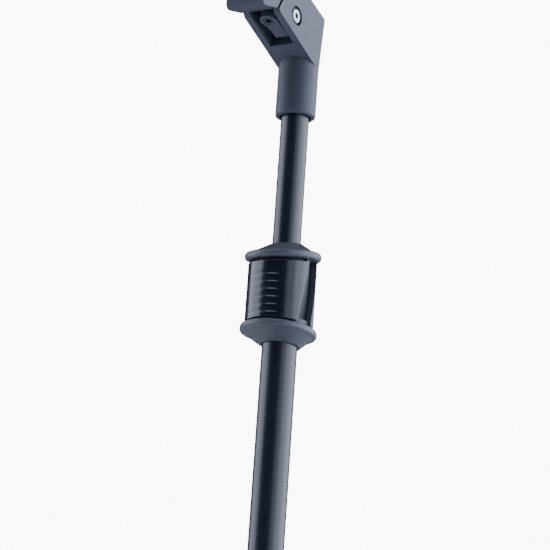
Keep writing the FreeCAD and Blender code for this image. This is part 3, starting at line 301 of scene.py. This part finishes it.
def powder_tube():
    f = Finish("powder_tube", colours().tube, 0.33)
    f.soften(sizes().edge_softness)
    f.bump(f.noise(1.0 / sizes().coat_grain, 2.0), 0.03 * MM, 0.25)
    f.join(f.ramp(f.noise(900.0), 0.3, 0.7, 0.28, 0.36), f.shader.inputs["Roughness"])
    return f


def gloss_lever():
    f = Finish("gloss_lever", colours().lever, 0.24)
    f.tint(f.noise(90.0, 2.0), 0.85, 1.15)
    f.join(f.ramp(f.noise(120.0, 2.0), 0.3, 0.7, 0.2, 0.25), f.shader.inputs["Roughness"])
    return f


def powder_desk():
    f = Finish("powder_desk", colours().desk, 0.48)
    f.soften(sizes().edge_softness)
    f.tint(f.noise(400.0, 3.0), 0.85, 1.15)
    f.bump(f.noise(900.0, 3.0, 0.6), 0.06 * MM, 0.5)
    return f


def plated_steel():
    f = Finish("plated_steel", colours().steel, 0.3, 1.0)
    f.soften(sizes().edge_softness * 0.5)
    f.join(f.ramp(f.noise(1800.0, 4.0), 0.3, 0.7, 0.22, 0.4), f.shader.inputs["Roughness"])
    return f


def blackened_steel():
    f = Finish("blackened_steel", colours().blackened, 0.38, 0.4)
    f.soften(sizes().edge_softness * 0.5)
    f.join(f.ramp(f.noise(1500.0, 4.0), 0.3, 0.7, 0.3, 0.48), f.shader.inputs["Roughness"])
    return f


def moulded_rubber():
    f = Finish("moulded_rubber", colours().rubber, 0.75)
    f.soften(sizes().edge_softness)
    f.tint(f.noise(500.0, 3.0), 0.85, 1.2)
    f.bump(f.noise(1500.0, 3.0), 0.06 * MM, 0.5)
    return f


FINISH_MAKERS = {
    "cast": painted_cast,
    "cap": moulded_cap,
    "housing": painted_light_strip,
    "tube": powder_tube,
    "lever": gloss_lever,
    "desk": powder_desk,
    "steel": plated_steel,
    "blackened": blackened_steel,
    "rubber": moulded_rubber,
}


def dress(name, finish_name):
    """Gives a carried-over CAD node its finish."""
    node = NODES[name]
    node.data.materials.clear()
    node.data.materials.append(finish(finish_name))


class STAND_OT_column(bpy.types.Operator):
    """Finish the telescoping column tubes and their plugs"""

    bl_idname = "stand.column"
    bl_label = "Column"

    def execute(self, context):
        for name in ("upper_tube", "lower_tube"):
            dress(name, "tube")
        for name in ("slide_plug", "column_plug", "guide_bush"):
            dress(name, "rubber")
        return {"FINISHED"}


class STAND_OT_grip(bpy.types.Operator):
    """Finish the clutch grip: housing, caps, pin, plates and spring"""

    bl_idname = "stand.grip"
    bl_label = "Clutch grip"

    def execute(self, context):
        dress("grip_housing", "housing")
        for name in ("upper_cap", "lower_cap"):
            dress(name, "cap")
        for name in ("lever_pin", "plate_spring", "locking_plates"):
            dress(name, "steel")
        return {"FINISHED"}


def edge_steps(span, round_radius, count):
    """Places across a width from edge to edge, close together where the edge is rounded."""
    near = [row * round_radius for row in EDGE_ROWS]
    inner = [round_radius + (span - 2 * round_radius) * i / count for i in range(1, count)]
    return near + inner + [span - x for x in reversed(near)]


def edge_drop(distance, round_radius):
    """How far a rounded edge falls away at a distance from the edge."""
    if distance >= round_radius:
        return 0.0
    return round_radius - math.sqrt(max(round_radius ** 2 - (round_radius - distance) ** 2, 0.0))


def finger_groove(angle, height):
    """Depth of the wedge-shaped finger grooves at a point of the lever's face."""
    fade = 1.0 - (angle / LEVER["groove_angle"]) ** 2
    if fade <= 0.0:
        return 0.0
    tall = LEVER["groove_height"] * math.sqrt(fade)
    step = LEVER["groove_step"] * fade
    for i in range(LEVER["grooves"]):
        above = height - (LEVER["groove_low"] + LEVER["groove_pitch"] * i)
        if 0.0 <= above < tall:
            rise = above / step if above < step else (tall - above) / (tall - step)
            return LEVER["groove_depth"] * fade * rise
    return 0.0


def lever_side(height):
    """Angle from the front to the lever's side edge, which leans back towards the top."""
    share = (height + LEVER["half"]) / (2 * LEVER["half"])
    y = LEVER["side_low"] + (LEVER["side_high"] - LEVER["side_low"]) * share
    return math.acos(max(min(-y / LEVER["outer"], 1.0), -1.0))


def lever_ends(angle):
    """Heights of the lever's sloping bottom and top edges at an angle from the front."""
    lean = math.tan(math.radians(LEVER["end_slope"]))
    y = -LEVER["outer"] * math.cos(angle)
    bottom = -LEVER["half"] - y * lean + LEVER["low_gap"]
    top = LEVER["half"] + y * lean - LEVER["high_gap"]
    return bottom, top


def lever_heights(angle):
    """Heights of one column's mesh rows: fine over the grooves, close together at the rounded ends."""
    bottom, top = lever_ends(angle)
    soft, low = LEVER["edge_round"], LEVER["groove_low"]
    fine = LEVER["groove_pitch"] / LEVER["rows_per_groove"]
    grooved = [low + fine * j for j in range(LEVER["rows_per_groove"] * LEVER["grooves"])]
    first, last = bottom + soft * EDGE_MARGIN, top - soft * EDGE_MARGIN
    below = [first + (low - first) * i / LEVER["low_rows"] for i in range(LEVER["low_rows"])]
    above = [
        grooved[-1] + (last - grooved[-1]) * i / LEVER["high_rows"] for i in range(1, LEVER["high_rows"] + 1)
    ]
    start = [bottom + soft * row for row in EDGE_ROWS]
    end = [top - soft * row for row in reversed(EDGE_ROWS)]
    return start + below + grooved + above + end


def lever_face(bm, radius, carved):
    """Adds the lever's outer face, carved and rounded, or its plain inner one. Returns its rim in order."""
    soft, outer = LEVER["edge_round"], LEVER["outer"]
    lines = []
    for across in edge_steps(2.0, soft / outer, LEVER["columns"]):
        share = across - 1.0
        line = []
        for height in lever_heights(share * lever_side(0.0)):
            angle = share * lever_side(height)
            bottom, top = lever_ends(angle)
            height = min(max(height, bottom), top)
            r = radius
            if carved:
                to_edges = ((lever_side(height) - abs(angle)) * outer, height - bottom, top - height)
                r -= finger_groove(angle, height)
                r -= max(edge_drop(distance, soft) for distance in to_edges)
            x, y = r * math.sin(angle), LEVER["centre_y"] - r * math.cos(angle)
            line.append(bm.verts.new(Vector((x, y, LEVER["middle"] + height)) * MM))
        lines.append(line)
    for left, right in zip(lines, lines[1:]):
        for i in range(len(left) - 1):
            corners = (left[i], right[i], right[i + 1], left[i + 1])
            bm.faces.new(corners if carved else corners[::-1])
    rim = [line[0] for line in lines] + lines[-1][1:]
    return rim + [line[-1] for line in reversed(lines[:-1])] + list(reversed(lines[0][1:-1]))


def lever_block(bm, half_wide, near, far, low, high):
    """Adds a block with rounded edges to the lever's inner side."""
    verts = bmesh.ops.create_cube(bm, size=1.0)["verts"]
    size = Vector((2 * half_wide, far - near, high - low))
    middle = Vector((0.0, LEVER["centre_y"] + 0.5 * (near + far), LEVER["middle"] + 0.5 * (low + high)))
    for vert in verts:
        vert.co = Vector([a * b for a, b in zip(vert.co, size)]) * MM + middle * MM
    edges = list({edge for vert in verts for edge in vert.link_edges})
    bmesh.ops.bevel(bm, geom=edges, offset=LEVER["block_round"] * MM, segments=3, affect="EDGES")


def lever_mesh():
    """The squeeze lever: a thin half shell with rounded edges, finger grooves, a pin lug and a nose."""
    bm = bmesh.new()
    face = lever_face(bm, LEVER["outer"], True)
    back = lever_face(bm, LEVER["inner"], False)
    for i, vert in enumerate(face):
        after = (i + 1) % len(face)
        bm.faces.new((face[after], vert, back[i], back[after]))
    for block in LEVER_BLOCKS.values():
        lever_block(bm, *block)
    bmesh.ops.recalc_face_normals(bm, faces=bm.faces)
    for polygon in bm.faces:
        polygon.smooth = True
    mesh = bpy.data.meshes.new("squeeze_lever")
    bm.to_mesh(mesh)
    bm.free()
    return mesh


class STAND_OT_lever(bpy.types.Operator):
    """Build and finish the grooved squeeze lever"""

    bl_idname = "stand.lever"
    bl_label = "Squeeze lever"

    def execute(self, context):
        mesh = lever_mesh()
        piece = bpy.data.objects.new("squeeze_lever", mesh)
        context.scene.collection.objects.link(piece)
        mesh.materials.append(finish("lever"))
        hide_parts("grip_lever")
        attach(piece, "lever")
        return {"FINISHED"}


class STAND_OT_head(bpy.types.Operator):
    """Finish the tilt head and its pivot"""

    bl_idname = "stand.head"
    bl_label = "Tilt head"

    def execute(self, context):
        dress("tilt_head", "cast")
        dress("friction_washers", "rubber")
        dress("tension_screw", "blackened")
        for name in ("pivot_bolt", "pivot_nut"):
            dress(name, "steel")
        return {"FINISHED"}


class STAND_OT_desk(bpy.types.Operator):
    """Finish the desk, its shelf, bracket and fasteners"""

    bl_idname = "stand.desk"
    bl_label = "Desk"

    def execute(self, context):
        dress("desk_bracket", "cast")
        for name in ("desk_panel", "desk_shelf"):
            dress(name, "desk")
        for name in ("desk_screws", "desk_nuts", "shelf_rivets"):
            dress(name, "blackened")
        return {"FINISHED"}


class STAND_OT_base(bpy.types.Operator):
    """Finish the hubs, knob, legs, struts and feet"""

    bl_idname = "stand.base"
    bl_label = "Folding base"

    def execute(self, context):
        for name in ("column_hub", "leg_collar"):
            dress(name, "cap")
        dress("collar_knob", "cap")
        for number in (1, 2, 3):
            dress(f"leg_{number}", "tube")
            dress(f"strut_{number}", "tube")
            dress(f"leg_rivets_{number}", "steel")
            dress(f"strut_rivet_{number}", "steel")
            dress(f"foot_{number}", "rubber")
        return {"FINISHED"}


def softbox(name, place, width, height, power):
    light = bpy.data.lights.new(name, "AREA")
    light.shape = "RECTANGLE"
    light.size = width
    light.size_y = height
    light.energy = power
    light.color = LIGHTS_TINT
    lamp = bpy.data.objects.new(name, light)
    lamp.location = place
    lamp.rotation_euler = (Vector(LIGHTS_AIM) - Vector(place)).to_track_quat("-Z", "Y").to_euler()
    bpy.context.scene.collection.objects.link(lamp)


def light_room(scene, stage):
    """A dim room, with a bright backdrop that only the camera sees."""
    world = bpy.data.worlds.new("studio")
    scene.world = world
    world.use_nodes = True
    tree = world.node_tree
    dim = tree.nodes["Background"]
    dim.inputs["Color"].default_value = AMBIENT_TINT
    dim.inputs["Strength"].default_value = stage.ambient
    bright = tree.nodes.new("ShaderNodeBackground")
    bright.inputs["Color"].default_value = (*stage.backdrop, 1.0)
    bright.inputs["Strength"].default_value = stage.backdrop_strength
    path = tree.nodes.new("ShaderNodeLightPath")
    mix = tree.nodes.new("ShaderNodeMixShader")
    tree.links.new(path.outputs["Is Camera Ray"], mix.inputs[0])
    tree.links.new(dim.outputs[0], mix.inputs[1])
    tree.links.new(bright.outputs[0], mix.inputs[2])
    tree.links.new(mix.outputs[0], tree.nodes["World Output"].inputs["Surface"])


class STAND_OT_stage(bpy.types.Operator):
    """Set up the floor, the lights and the camera"""

    bl_idname = "stand.stage"
    bl_label = "Stage"

    def execute(self, context):
        scene = context.scene
        stage = scene.stand_stage
        bpy.ops.mesh.primitive_plane_add(size=FLOOR_SIZE, location=(0.0, 0.0, 0.0))
        floor = context.object
        floor.name = "floor"
        f = Finish("pale_floor", stage.floor, 0.7)
        f.tint(f.noise(40.0), 0.99, 1.01)
        floor.data.materials.append(f.done())

        light_room(scene, stage)
        for name, place, width, height, power in SOFTBOXES:
            softbox(name, place, width, height, power)

        lens = bpy.data.cameras.new("camera")
        lens.lens = stage.lens
        lens.sensor_width = SENSOR_WIDTH
        lens.dof.use_dof = False
        camera = bpy.data.objects.new("camera", lens)
        scene.collection.objects.link(camera)
        place_camera(camera)
        scene.camera = camera
        return {"FINISHED"}


def place_camera(camera):
    eye = Vector(CAMERA_EYE)
    roll = math.radians(CAMERA_ROLL)
    bearing = math.radians(CAMERA_BEARING)
    forward = (Vector(CAMERA_AIM) - eye).normalized()
    level = Vector((math.cos(bearing), math.sin(bearing), 0.0))
    above = level.cross(forward)
    right = math.cos(roll) * level + math.sin(roll) * above
    up = -math.sin(roll) * level + math.cos(roll) * above
    turn = Matrix((right, up, -forward)).transposed().to_4x4()
    camera.matrix_world = Matrix.Translation(eye) @ turn


class STAND_PT_panel(bpy.types.Panel):
    """Lists every step of the stand's finishing"""

    bl_idname = "STAND_PT_panel"
    bl_label = "Music stand"
    bl_space_type = "VIEW_3D"
    bl_region_type = "UI"
    bl_category = "Stand"

    def draw(self, context):
        for step in STEPS:
            self.layout.operator(step.bl_idname)
        for group in (context.scene.stand_colours, context.scene.stand_sizes, context.scene.stand_stage):
            box = self.layout.box()
            for key in group.bl_rna.properties.keys():
                if key not in ("rna_type", "name"):
                    box.prop(group, key)


STEPS = (
    STAND_OT_column,
    STAND_OT_grip,
    STAND_OT_lever,
    STAND_OT_head,
    STAND_OT_desk,
    STAND_OT_base,
    STAND_OT_stage,
)
CLASSES = (StandColours, StandSizes, StandStage, *STEPS, STAND_PT_panel)


def register():
    for cls in CLASSES:
        bpy.utils.register_class(cls)
    bpy.types.Scene.stand_colours = PointerProperty(type=StandColours)
    bpy.types.Scene.stand_sizes = PointerProperty(type=StandSizes)
    bpy.types.Scene.stand_stage = PointerProperty(type=StandStage)


def unregister():
    del bpy.types.Scene.stand_stage
    del bpy.types.Scene.stand_sizes
    del bpy.types.Scene.stand_colours
    for cls in reversed(CLASSES):
        bpy.utils.unregister_class(cls)


def main():
    register()
    for step in STEPS:
        area, name = step.bl_idname.split(".")
        getattr(getattr(bpy.ops, area), name)()


if __name__ == "__main__":
    main()
